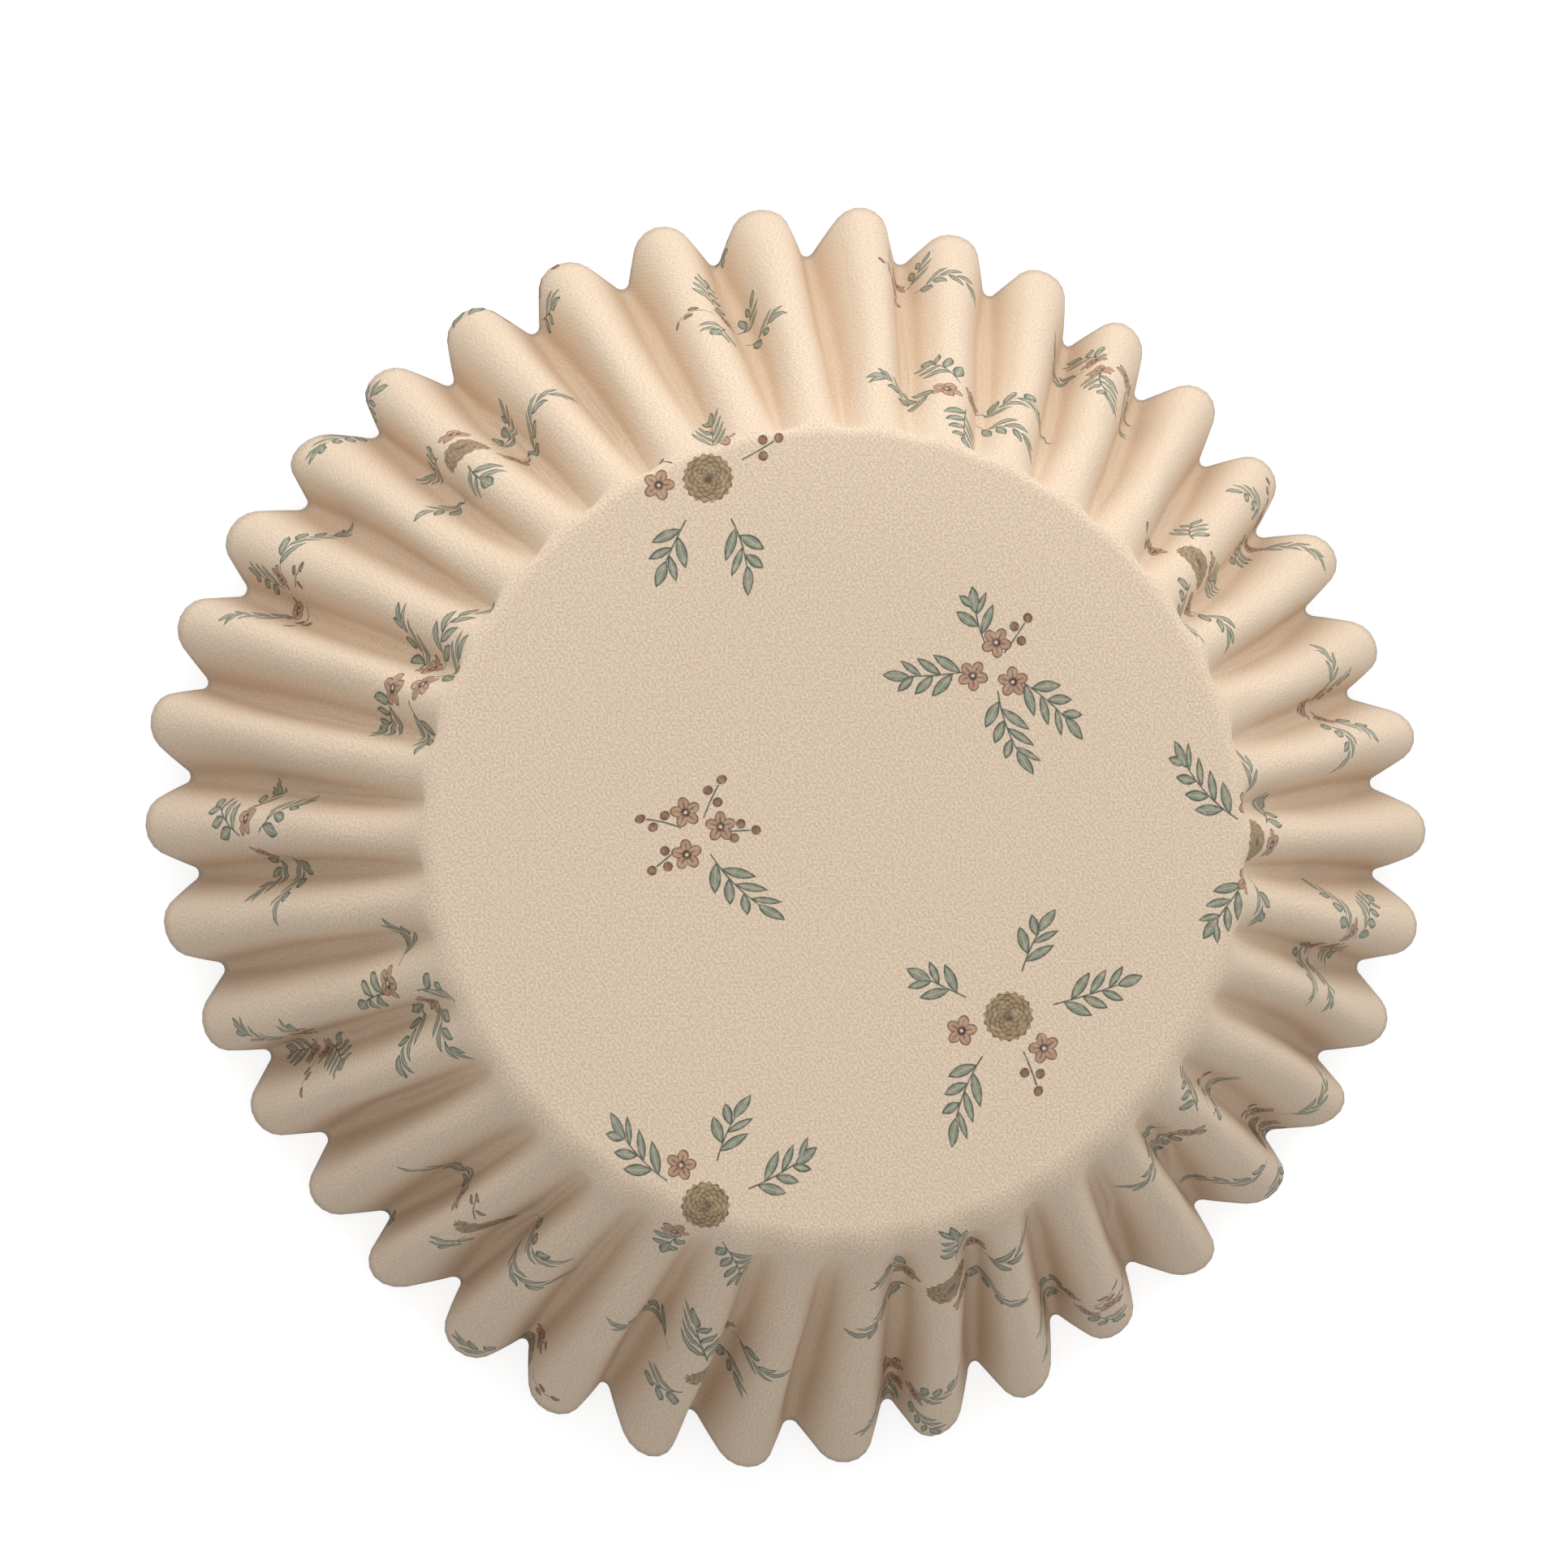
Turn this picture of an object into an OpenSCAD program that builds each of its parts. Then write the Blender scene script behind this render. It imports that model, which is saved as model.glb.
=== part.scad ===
// Fluted paper baking cup, turned upside down: it rests on its rim with the flat base on top.
// It is one sheet. A round blank is pressed into a flat base and a sloping wall, and paper
// doesn't stretch, so what the wall has too much of goes into flutes. How deep the flutes are
// at any height follows from the blank's own circumference there.

/* [Cup] */
// Diameter of the flat base, measured to the corner where base and wall would meet
base_d = 50; // [40:1:60]
// Length of the wall down its slope, from that corner to the rim
wall_len = 35; // [28:1:42]
// Mean diameter of the fluted rim
rim_d = 75.8; // [70:0.2:82]
// Radius of the bend between base and wall
bend_r = 2; // [1:0.25:3]
// Thickness of the paper
paper_t = 0.1; // [0.06:0.01:0.3]

/* [Flutes] */
// Number of flutes around the wall
flute_count = 38; // [30:1:44]
// Radius of each round crest at the rim
crest_r = 1.9; // [1.2:0.1:2.2]
// Radius of each narrow valley at the rim
valley_r = 0.4; // [0.2:0.05:0.6]
// Direction of the first crest, in degrees from +X
first_crest = -0.3; // [-5:0.1:5]

/* [Pressed shape] */
// How far the rim bulges at its four soft corners
corner_rise = 1.05; // [0:0.05:1.5]
// Direction of the first soft corner, in degrees
corner_dir = -7; // [-45:1:45]
// How far the rim bulges on three sides
three_rise = 0.35; // [0:0.05:0.8]
// Direction of the first of those three sides, in degrees
three_dir = 29; // [-60:1:60]
// How far the rim bulges at both ends of its long way
oval_rise = 0.45; // [0:0.05:1]
// Direction of the long way, in degrees
oval_dir = 165; // [0:1:180]
// How far the flutes are pushed together towards one side
crowd_shift = 0.85; // [0:0.05:1.2]
// Direction of that side, in degrees
crowd_dir = 3; // [-90:1:90]
// How far the flutes are pushed together towards two opposite sides
pinch_shift = 0.3; // [0:0.05:0.6]
// Direction of the first of those two sides, in degrees
pinch_dir = 53; // [0:1:180]

/* [Colour] */
// Colour of the printed side
paper_colour = "bisque"; // [bisque, wheat, antiquewhite, white]

/* [Hidden] */

base_r = base_d / 2;
rim_r = rim_d / 2;
blank_r = base_r + wall_len;
half_t = paper_t / 2;
radian = 180 / PI;

// Each bulge is [times around, height, direction], and so is each push along the rim
bulges = [[2, oval_rise, oval_dir], [3, three_rise, three_dir], [4, corner_rise, corner_dir]];
pushes = [[1, crowd_shift, crowd_dir], [2, pinch_shift, pinch_dir]];

// Steps across one crest and half a valley, and rings over the bend and down the wall
crest_steps = 4;
valley_steps = 1;
bend_rings = 3;
wall_rings = 5;
// Rings lie closer together near the base, where the flutes deepen fastest
ring_crowding = 1.8;
halvings = 26;
// Largest share of half a pitch that the two fold radii may add up to
roundest = 0.9;

function total(v, i = 0) = i < len(v) ? v[i] + total(v, i + 1) : 0;

// Reach of the rim's middle line in direction a
function rim_reach(a) = rim_r + total([for (b = bulges) b[1] * cos(b[0] * (a - b[2]))]);

// Where a fold that would stand at angle a on an even circle really stands: folds keep an
// equal distance along the bulging rim, and the pushes move them from there
function settled(a) =
    a
    - radian / rim_r * total([for (b = bulges) b[1] / b[0] * sin(b[0] * (a - b[2]))])
    - radian / rim_r * total([for (p = pushes) p[1] * sin(p[0] * (a - p[2]))]);

// Angle through which the paper turns down from the base into a wall that reaches the rim at
// radius reach, and where on the blank that bend starts and ends
function wall_turn(reach) = acos((reach - base_r) / wall_len);
function bend_start(turn) = base_r - bend_r * tan(turn / 2);
function bend_end(turn) = bend_start(turn) + bend_r * turn / radian;

// Middle line of the pressed sheet at blank radius rho, as [radius, drop below base, slope]
function profile(rho, turn) =
    let (start = bend_start(turn), end = bend_end(turn))
    rho <= start ? [rho, 0, 0]
    : rho <= end
        ? let (slope = (rho - start) / bend_r * radian)
          [start + bend_r * sin(slope), bend_r * (1 - cos(slope)), slope]
        : [start + bend_r * sin(turn) + (rho - end) * cos(turn),
           bend_r * (1 - cos(turn)) + (rho - end) * sin(turn),
           turn];

mean_turn = wall_turn(rim_r);
function pitch(rho) = 2 * PI * profile(rho, mean_turn)[0] / flute_count;
function paper(rho) = 2 * PI * rho / flute_count;

// Half the pitch that a flute spans when its flanks stand at angle b: folds of summed radius
// fold_r at the rim, or folds that take share of the paper on any ring
function rim_span(b, fold_r) =
    fold_r * (sin(b) - b / radian * cos(b)) + paper(blank_r) / 2 * cos(b);
function ring_span(b, share, rho) =
    paper(rho) / 2 * (share * sin(b) * radian / b + (1 - share) * cos(b));

// Flank angle at which the flute spans its pitch, found by halving the interval
function rim_flank(fold_r, low = 0, high = 90, n = halvings) =
    let (b = (low + high) / 2)
    n == 0 ? b
    : rim_span(b, fold_r) > pitch(blank_r) / 2
        ? rim_flank(fold_r, b, high, n - 1)
        : rim_flank(fold_r, low, b, n - 1);
function ring_flank(share, rho, low = 0, high = 90, n = halvings) =
    let (b = (low + high) / 2)
    n == 0 ? b
    : ring_span(b, share, rho) > pitch(rho) / 2
        ? ring_flank(share, rho, b, high, n - 1)
        : ring_flank(share, rho, low, b, n - 1);

// Share of each flute's paper that its crest and its valley bend take, the same on every ring.
// Folds too round for the pitch at the rim are tightened until they fit it.
fold_fit = min(1, roundest * pitch(blank_r) / 2 / (crest_r + valley_r));
steepest = rim_flank(fold_fit * (crest_r + valley_r));
crest_share = 2 * fold_fit * crest_r * steepest / radian / paper(blank_r);
valley_share = 2 * fold_fit * valley_r * steepest / radian / paper(blank_r);

// One flute across its pitch at blank radius rho, as [across, out, tilt] from valley to valley,
// where out is measured from halfway between valley and crest
function flute(rho) =
    let (
        share = crest_share + valley_share,
        b = ring_flank(share, rho),
        crest = crest_share * paper(rho) * radian / b / 2,
        valley = valley_share * paper(rho) * radian / b / 2,
        flank = (1 - share) * paper(rho) / 2,
        half_depth = ((crest + valley) * (1 - cos(b)) + flank * sin(b)) / 2,
        half_pitch = pitch(rho) / 2
    )
    [
        for (i = [0 : valley_steps])
            let (q = b * i / valley_steps)
            [valley * sin(q) - half_pitch, valley * (1 - cos(q)) - half_depth, -q],
        for (i = [0 : crest_steps])
            let (q = b * (2 * i / crest_steps - 1))
            [crest * sin(q), half_depth - crest * (1 - cos(q)), q],
        for (i = [valley_steps : -1 : 1])
            let (q = b * i / valley_steps)
            [half_pitch - valley * sin(q), valley * (1 - cos(q)) - half_depth, q]
    ];

// Point of the sheet as [x, y, drop]: offset is half the thickness outwards or inwards
function sheet_point(k, wave, rho, offset) =
    let (
        a = settled(first_crest + 360 / flute_count * (k + wave[0] / pitch(rho))),
        line = profile(rho, wall_turn(rim_reach(a))),
        out = wave[1] + offset * cos(wave[2]),
        along = offset * sin(wave[2]),
        r = line[0] + out * sin(line[2])
    )
    [r * cos(a) - along * sin(a), r * sin(a) + along * cos(a), line[1] - out * cos(line[2])];

function ring(rho, offset) =
    let (waves = flute(rho))
    [for (k = [0 : flute_count - 1]) for (w = waves) sheet_point(k, w, rho, offset)];

bend_rhos = [
    for (i = [0 : bend_rings])
        bend_start(mean_turn) + (bend_end(mean_turn) - bend_start(mean_turn)) * i / bend_rings
];
wall_rhos = [
    for (i = [1 : wall_rings])
        bend_end(mean_turn)
        + (blank_r - bend_end(mean_turn)) * pow(i / wall_rings, ring_crowding)
];
rhos = concat(bend_rhos, wall_rhos);

// Height of the base's middle line, which puts the lowest point of the rim at zero
base_z = max([for (side = [-half_t, half_t]) for (p = ring(blank_r, side)) p[2]]);

// Both faces of the sheet as rings of points, closed by a fan at the base and a strip at the rim
module liner() {
    round_count = flute_count * len(flute(blank_r));
    last = len(rhos) - 1;
    face_size = len(rhos) * round_count + 1;
    points = [
        for (side = [half_t, -half_t])
            each concat(
                [for (rho = rhos) each ring(rho, side)],
                [[0, 0, -side]]
            )
    ];
    function at(i, j) = i * round_count + j % round_count;
    around = [0 : round_count - 1];
    outside = [
        for (j = around)
            each [
                [face_size - 1, at(0, j + 1), at(0, j)],
                for (i = [0 : last - 1])
                    each [
                        [at(i, j), at(i, j + 1), at(i + 1, j + 1)],
                        [at(i, j), at(i + 1, j + 1), at(i + 1, j)]
                    ]
            ]
    ];
    inside = [for (f = outside) [for (n = [2 : -1 : 0]) f[n] + face_size]];
    rim = [
        for (j = around)
            each [
                [at(last, j), at(last, j + 1), at(last, j + 1) + face_size],
                [at(last, j), at(last, j + 1) + face_size, at(last, j) + face_size]
            ]
    ];
    color(paper_colour)
        polyhedron([for (p = points) [p[0], p[1], base_z - p[2]]], concat(outside, inside, rim));
}

liner();
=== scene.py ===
import functools
import math

import bmesh
import bpy
from mathutils import Matrix, Vector, noise


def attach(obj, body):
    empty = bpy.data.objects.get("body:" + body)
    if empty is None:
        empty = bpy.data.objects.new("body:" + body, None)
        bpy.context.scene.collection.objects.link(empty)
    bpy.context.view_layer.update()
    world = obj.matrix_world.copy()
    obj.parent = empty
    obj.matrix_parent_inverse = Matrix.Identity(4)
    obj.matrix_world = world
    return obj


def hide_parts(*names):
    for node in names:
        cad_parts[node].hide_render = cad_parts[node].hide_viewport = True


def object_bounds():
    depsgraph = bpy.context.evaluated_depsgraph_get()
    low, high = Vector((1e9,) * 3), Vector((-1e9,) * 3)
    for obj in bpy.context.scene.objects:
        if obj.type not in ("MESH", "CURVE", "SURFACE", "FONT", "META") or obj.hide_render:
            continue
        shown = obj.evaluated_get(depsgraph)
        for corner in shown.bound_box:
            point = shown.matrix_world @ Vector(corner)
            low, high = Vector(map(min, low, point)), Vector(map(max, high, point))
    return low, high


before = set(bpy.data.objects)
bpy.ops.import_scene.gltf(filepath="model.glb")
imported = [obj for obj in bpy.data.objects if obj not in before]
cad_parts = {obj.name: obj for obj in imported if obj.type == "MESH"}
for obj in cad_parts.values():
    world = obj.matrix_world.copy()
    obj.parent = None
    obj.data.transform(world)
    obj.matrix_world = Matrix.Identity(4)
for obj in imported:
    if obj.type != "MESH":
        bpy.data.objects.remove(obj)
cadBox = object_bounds()
mm = 0.001
fullTurn = 2 * math.pi

# The flat round sheet that the cup is pressed from
paperBlank = {
    "baseRadius": 25.0 * mm,     # to the corner where base and wall would meet
    "wallLength": 35.0 * mm,     # down the slope
    "thickness": 0.1 * mm,
    "flutes": 38,
    "stepsPerFlute": 22,
    "valleyCrowding": 0.45,      # how much closer the steps lie in the valleys
    "baseRings": 7,
    "bendRings": 16,
    "wallRings": 36,
    "ringCrowding": 1.35,        # rings lie closer together near the base
    "baseCrowding": 0.55,        # and, in the base, closer together near the bend
}

# What the press and the hand made of it
pressedShape = {
    "rimRadius": 37.9 * mm,      # on average
    # Radius of the bend round the base, tight on the +Y side and easy across from it:
    # times around, swing, direction
    "bendMean": 1.6 * mm,
    "bendSwings": [(1, -0.75 * mm, 90), (2, 0.15 * mm, 90)],
    "bendStep": 0.01 * mm,
    "bendRange": (1.0 * mm, 2.4 * mm),   # what counts as tight and as easy in the pairs below
    "crestRadius": 1.8 * mm,     # of the folds, at the rim
    "valleyRadius": 0.5 * mm,
    # Share of the paper that lies in the folds where they begin, at a tight bend and at an easy one
    "crestStart": (0.5, 0.4),
    "valleyStart": (0.06, 0.2),
    "startZone": 0.35,           # share of the wall over which these soften
    "crestShare": 0.33,          # the same share at mid wall
    "valleyShare": 0.20,
    "rimZone": 0.4,              # share of the wall over which the folds open to the rim's
    # Makes the folds deeper at mid wall, by this share more paper than the flat blank has there
    "pressedIn": 0.15,
    "pressedSwing": 0.5,         # how much more on one side, and less across from it
    "pressedWay": math.radians(230),
    "pressedStep": 0.002,
    # The same at a tight bend and at an easy one
    "pressedEarly": (0.5, 0.85),     # below 1 the deepening begins close to the base
    "pressedStart": (0.07, 0.0),     # and this much of it is there where the bend ends
    "pleatHeight": 0.38 * mm,    # of the small raised crease along the floor of a valley
    "pleatWidth": 0.2 * mm,
    "pleatDrift": 0.35 * mm,     # of that crease off the middle
    "pleatZone": (0.06, 0.8),    # share of the wall where it runs
    "pleatChange": 0.77,         # how fast its height changes from valley to valley
    "pleatWander": (0.63, 4),    # and its place, from valley to valley and down the wall
    "crinkle": 0.09 * mm,        # small soft wrinkles along the flutes
    "crinkleScale": (2.3, 0.14), # per flute, and per millimetre down the sheet
    "crinkleFull": 1 / 8,        # share of the wall by which they have their full height
    "firstCrest": math.radians(-0.3),
    # times around, height, direction
    "bulges": [(2, 0.45 * mm, 165), (3, 0.35 * mm, 29), (4, 1.05 * mm, -7)],
    "pushes": [(1, 0.85 * mm, 3), (2, 0.3 * mm, 53)],
    "unevenDepth": 0.12,         # share by which single flutes are deeper or shallower
    "unevenSpacing": 0.3 * mm,   # sideways drift of single folds
    "lean": 0.22,                # sideways lean of a flute, as a share of its height
    "depthChange": 0.83,         # how fast these three change from flute to flute
    "spacingChange": 0.71,
    "leanChange": 0.31,
    "spacingAtRim": 0.5,         # share of the drift at the rim, and what mid wall adds
    "spacingAtWaist": 0.6,
    "baseWave": 0.05 * mm,       # soft unevenness of the flat base
    "waveScale": 70,             # per metre
    "waveFull": 20 * mm,         # distance from the middle at which it has its full height
    "edgeRoll": 0.45 * mm,       # how far the base's edge curves down below its middle
    "rollSwing": 0.56,           # how much more on one side, and less across from it
    "rollWay": math.radians(90),
    "rollPower": 5,              # the higher, the more of the base is flat
    "seed": 11,
}


def rimReach(angle):
    shape = pressedShape
    return shape["rimRadius"] + sum(
        height * math.cos(times * (angle - math.radians(way))) for times, height, way in shape["bulges"]
    )


def settledAngle(angle):
    shape = pressedShape
    moved = angle
    for times, height, way in shape["bulges"]:
        moved -= height / times / shape["rimRadius"] * math.sin(times * (angle - math.radians(way)))
    for times, push, way in shape["pushes"]:
        moved -= push / shape["rimRadius"] * math.sin(times * (angle - math.radians(way)))
    return moved


def bendAt(angle):
    shape = pressedShape
    bend = shape["bendMean"] + sum(
        swing * math.cos(times * (angle - math.radians(way))) for times, swing, way in shape["bendSwings"]
    )
    return round(bend / shape["bendStep"]) * shape["bendStep"]


def pressedAt(angle):
    shape = pressedShape
    share = shape["pressedIn"] * (1 + shape["pressedSwing"] * math.cos(angle - shape["pressedWay"]))
    return round(share / shape["pressedStep"]) * shape["pressedStep"]


# Radius, drop below the base and slope of the sheet's middle line at a distance out on the blank
def meridian(out, turn, bend):
    start = paperBlank["baseRadius"] - bend * math.tan(turn / 2)
    end = start + bend * turn
    if out <= start:
        return out, 0.0, 0.0
    if out <= end:
        slope = (out - start) / bend
        return start + bend * math.sin(slope), bend * (1 - math.cos(slope)), slope
    return (
        start + bend * math.sin(turn) + (out - end) * math.cos(turn),
        bend * (1 - math.cos(turn)) + (out - end) * math.sin(turn),
        turn,
    )


def wallTurn(reach):
    return math.acos((reach - paperBlank["baseRadius"]) / paperBlank["wallLength"])


meanTurn = wallTurn(pressedShape["rimRadius"])


def halve(tooWide, low, high):
    for _ in range(40):
        middle = (low + high) / 2
        if tooWide(middle):
            low = middle
        else:
            high = middle
    return (low + high) / 2


def pitchAt(out, bend):
    return fullTurn * meridian(out, meanTurn, bend)[0] / paperBlank["flutes"]


def paperAt(out):
    return fullTurn * out / paperBlank["flutes"]


# Share of a flute's paper that its two folds take, from their radii at the rim
def foldShares():
    rim = paperBlank["baseRadius"] + paperBlank["wallLength"]
    folds = pressedShape["crestRadius"] + pressedShape["valleyRadius"]
    paper, pitch = paperAt(rim), pitchAt(rim, pressedShape["bendMean"])
    steep = halve(
        lambda b: folds * (math.sin(b) - b * math.cos(b)) + paper / 2 * math.cos(b) > pitch / 2,
        0.0,
        math.pi / 2,
    )
    return tuple(2 * pressedShape[fold] * steep / paper for fold in ("crestRadius", "valleyRadius"))


rimShares = foldShares()


def blend(first, second, share):
    return first + share * (second - first)


def smoothStep(low, high, value):
    share = min(1.0, max(0.0, (value - low) / (high - low)))
    return share * share * (3 - 2 * share)


# Each ring of the blank folds up until it spans its pitch, with the added share at mid wall
@functools.cache
def fluteAt(out, bend, pressed):
    shape = pressedShape
    bendStart = paperBlank["baseRadius"] - bend * math.tan(meanTurn / 2)
    bendEnd = bendStart + bend * meanTurn
    edge = paperBlank["baseRadius"] + paperBlank["wallLength"]
    easy = smoothStep(*shape["bendRange"], bend)
    begun = min(1.0, max(0.0, 2 * (out - bendStart) / (bendEnd - bendStart) - 1))
    down = min(1.0, max(0.0, (out - bendEnd) / (edge - bendEnd)))
    start = blend(*shape["pressedStart"], easy) * begun ** 2 * (1 - down)
    softened = smoothStep(0, shape["startZone"], down)
    opened = smoothStep(1 - shape["rimZone"], 1, down)
    crestShare = blend(blend(*shape["crestStart"], easy), shape["crestShare"], softened)
    crestShare = blend(crestShare, rimShares[0], opened)
    valleyShare = blend(blend(*shape["valleyStart"], easy), shape["valleyShare"], softened)
    valleyShare = blend(valleyShare, rimShares[1], opened)
    creased = pressed * math.sin(math.pi * down ** blend(*shape["pressedEarly"], easy)) + start
    paper = paperAt(out) * (1 + creased)
    pitch = pitchAt(out, bend)
    share = crestShare + valleyShare
    steep = halve(
        lambda b: share * math.sin(b) / b + (1 - share) * math.cos(b) > pitch / paper,
        1e-6,
        math.pi / 2,
    )
    crest = crestShare * paper / 2 / steep
    valley = valleyShare * paper / 2 / steep
    flank = (1 - share) * paper / 2
    height = (crest + valley) * (1 - math.cos(steep)) + flank * math.sin(steep)
    # At the base the crests stay on the bend and only the valleys cut in
    top = height / 2 * softened
    return {
        "down": down,
        "paper": paper,
        "pitch": pitch,
        "steep": steep,
        "crest": crest,
        "valley": valley,
        "top": top,
        "floor": top - height,
    }


# Across, out and tilt of the sheet at a share of the flute's paper, -0.5 to 0.5 from the crest
def foldedAt(flute, share):
    length = abs(share) * flute["paper"]
    side = 1 if share >= 0 else -1
    steep, crest, valley = flute["steep"], flute["crest"], flute["valley"]
    top, floor = flute["top"], flute["floor"]
    if length <= crest * steep:
        tilt = length / crest
        across, out = crest * math.sin(tilt), top - crest * (1 - math.cos(tilt))
    elif length >= flute["paper"] / 2 - valley * steep:
        tilt = (flute["paper"] / 2 - length) / valley
        across, out = flute["pitch"] / 2 - valley * math.sin(tilt), floor + valley * (1 - math.cos(tilt))
    else:
        tilt = steep
        run = length - crest * steep
        across = crest * math.sin(steep) + run * math.cos(steep)
        out = top - crest * (1 - math.cos(steep)) - run * math.sin(steep)
    return side * across, out, side * tilt


# Distances of the blank's rings from its centre
def ringRadii():
    blank = paperBlank
    edge = blank["baseRadius"] + blank["wallLength"]
    widest = max(bendAt(math.radians(way)) for way in range(360))
    bendStart = blank["baseRadius"] - widest * math.tan(meanTurn / 2)
    bendEnd = bendStart + widest * meanTurn
    radii = [
        bendStart * (i / blank["baseRings"]) ** blank["baseCrowding"]
        for i in range(1, blank["baseRings"] + 1)
    ]
    radii += [
        bendStart + (bendEnd - bendStart) * i / blank["bendRings"]
        for i in range(1, blank["bendRings"] + 1)
    ]
    radii += [
        bendEnd + (edge - bendEnd) * (i / blank["wallRings"]) ** blank["ringCrowding"]
        for i in range(1, blank["wallRings"] + 1)
    ]
    return radii


# A flat disc grown ring by ring, with its steps crowded towards the valleys
def cutBlank(radii):
    flutes = paperBlank["flutes"]
    bm = bmesh.new()
    steps = flutes * paperBlank["stepsPerFlute"]
    bmesh.ops.create_circle(bm, cap_ends=True, cap_tris=True, segments=steps, radius=radii[0])
    edges = [edge for edge in bm.edges if edge.is_boundary]
    for inner, outer in zip(radii, radii[1:]):
        grown = bmesh.ops.extrude_edge_only(bm, edges=edges)["geom"]
        verts = [part for part in grown if isinstance(part, bmesh.types.BMVert)]
        bmesh.ops.scale(bm, vec=(outer / inner, outer / inner, 1), verts=verts)
        edges = [part for part in grown if isinstance(part, bmesh.types.BMEdge) and part.is_boundary]
    bmesh.ops.recalc_face_normals(bm, faces=bm.faces[:])
    if sum(face.normal.z for face in bm.faces) < 0:
        bmesh.ops.reverse_faces(bm, faces=bm.faces[:])
    for vert in bm.verts:
        turn = math.atan2(vert.co.y, vert.co.x)
        crowded = paperBlank["valleyCrowding"] * math.sin(turn * flutes) / flutes
        vert.co = Matrix.Rotation(crowded, 3, "Z") @ vert.co
    return bm


# Small differences between neighbouring folds, the same on each run
# (the channel keeps depth, spacing and lean apart)
def unevenness(place, channel):
    return noise.noise(Vector((place, channel * 7.3, pressedShape["seed"])))


# The small crease along a valley's floor, higher in some valleys than in others
def pleatAt(around, flute):
    shape = pressedShape
    valley = math.floor(around)
    start, end = shape["pleatZone"]
    run = min(1.0, max(0.0, (flute["down"] - start) / (end - start)))
    high = 0.5 + noise.noise(Vector((valley * shape["pleatChange"], 9.1, 2.6)))
    height = shape["pleatHeight"] * math.sin(math.pi * run) * high
    sideways, downwards = shape["pleatWander"]
    place = Vector((valley * sideways, 3.4, downwards * flute["down"]))
    middle = shape["pleatDrift"] * 2 * noise.noise(place)
    off = ((around - valley - 0.5) * flute["paper"] - middle) / shape["pleatWidth"]
    return height * math.exp(-off * off)


# Moves one point of the flat blank to its place on the pressed cup
def pressPoint(flat, offset, top):
    shape = pressedShape
    out = Vector((flat.x, flat.y)).length
    if out < 1e-9:
        return Vector((0, 0, top + offset))
    around = math.atan2(flat.y, flat.x) / fullTurn * paperBlank["flutes"]
    index = round(around)
    way = shape["firstCrest"] + fullTurn * around / paperBlank["flutes"]
    bend = bendAt(way)
    flute = fluteAt(round(out, 6), bend, pressedAt(way))
    across, rise, tilt = foldedAt(flute, around - index)
    rise += pleatAt(around, flute)
    wallShare = max(0.0, (out - paperBlank["baseRadius"]) / paperBlank["wallLength"])
    place = index + across / flute["pitch"]
    ring = place % paperBlank["flutes"]
    blendIn = min(ring, paperBlank["flutes"] - ring, 1.0)
    rise *= 1 + shape["unevenDepth"] * 2 * unevenness(ring * shape["depthChange"], 1) * blendIn
    wrinkled = min(1.0, wallShare / shape["crinkleFull"]) * blendIn
    sideways, downwards = shape["crinkleScale"]
    spot = Vector((ring * sideways, out / mm * downwards, 4.7))
    rise += shape["crinkle"] * 2 * noise.noise(spot) * wrinkled
    waist = shape["spacingAtRim"] * wallShare + math.sin(math.pi * wallShare) * shape["spacingAtWaist"]
    moved = unevenness(ring * shape["spacingChange"] + wallShare, 2)
    drift = shape["unevenSpacing"] * 2 * moved * blendIn * waist
    drift += shape["lean"] * 2 * rise * unevenness(ring * shape["leanChange"], 3) * blendIn
    angle = settledAngle(shape["firstCrest"] + fullTurn * place / paperBlank["flutes"])
    radius, drop, slope = meridian(out, wallTurn(rimReach(angle)), bend)
    rise += offset * math.cos(tilt)
    along = offset * math.sin(tilt) + drift
    radius += rise * math.sin(slope)
    wave = shape["baseWave"] * noise.noise(Vector((flat.x, flat.y, 0)) * shape["waveScale"])
    wave *= min(1.0, out / shape["waveFull"])
    rolled = shape["edgeRoll"] * (1 + shape["rollSwing"] * math.cos(angle - shape["rollWay"]))
    rolled *= min(1.0, out / paperBlank["baseRadius"]) ** shape["rollPower"] * (1 - wallShare)
    height = top - drop - rolled + rise * math.cos(slope) + wave
    return Vector(
        (
            radius * math.cos(angle) - along * math.sin(angle),
            radius * math.sin(angle) + along * math.cos(angle),
            height,
        )
    )


# Where a blank's point lies on the two maps: the print's, and the one for a flattened picture
mapLayout = {
    "outside": ((0.4, 0.4), 0.39),
    "inside": ((0.9, 0.9), 0.09),
}


def fillMaps(bm, side):
    edge = paperBlank["baseRadius"] + paperBlank["wallLength"]
    centre, size = mapLayout[side]
    printMap = bm.loops.layers.uv.new("blankMap")
    bakeMap = bm.loops.layers.uv.new("OFBake")
    for face in bm.faces:
        for loop in face.loops:
            flat = loop.vert.co.to_2d() / edge
            loop[printMap].uv = flat / 2 + Vector((0.5, 0.5))
            loop[bakeMap].uv = flat * size + Vector(centre)


# The strip that closes the rim takes its coordinates from the sheets on both sides of it
def mapRim(bm, strip):
    layers = [bm.loops.layers.uv[name] for name in ("blankMap", "OFBake")]
    closing = set(strip)
    for face in strip:
        for loop in face.loops:
            source = next(other for other in loop.vert.link_loops if other.face not in closing)
            for layer in layers:
                loop[layer].uv = source[layer].uv


def pressedSheet(side, top):
    half = paperBlank["thickness"] / 2
    bm = cutBlank(ringRadii())
    fillMaps(bm, side)
    offset = half if side == "outside" else -half
    for vert in bm.verts:
        vert.co = pressPoint(vert.co.copy(), offset, top)
    if side == "inside":
        bmesh.ops.reverse_faces(bm, faces=bm.faces[:])
    for face in bm.faces:
        face.smooth = True
        face.material_index = 0 if side == "outside" else 1
    return bm


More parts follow.
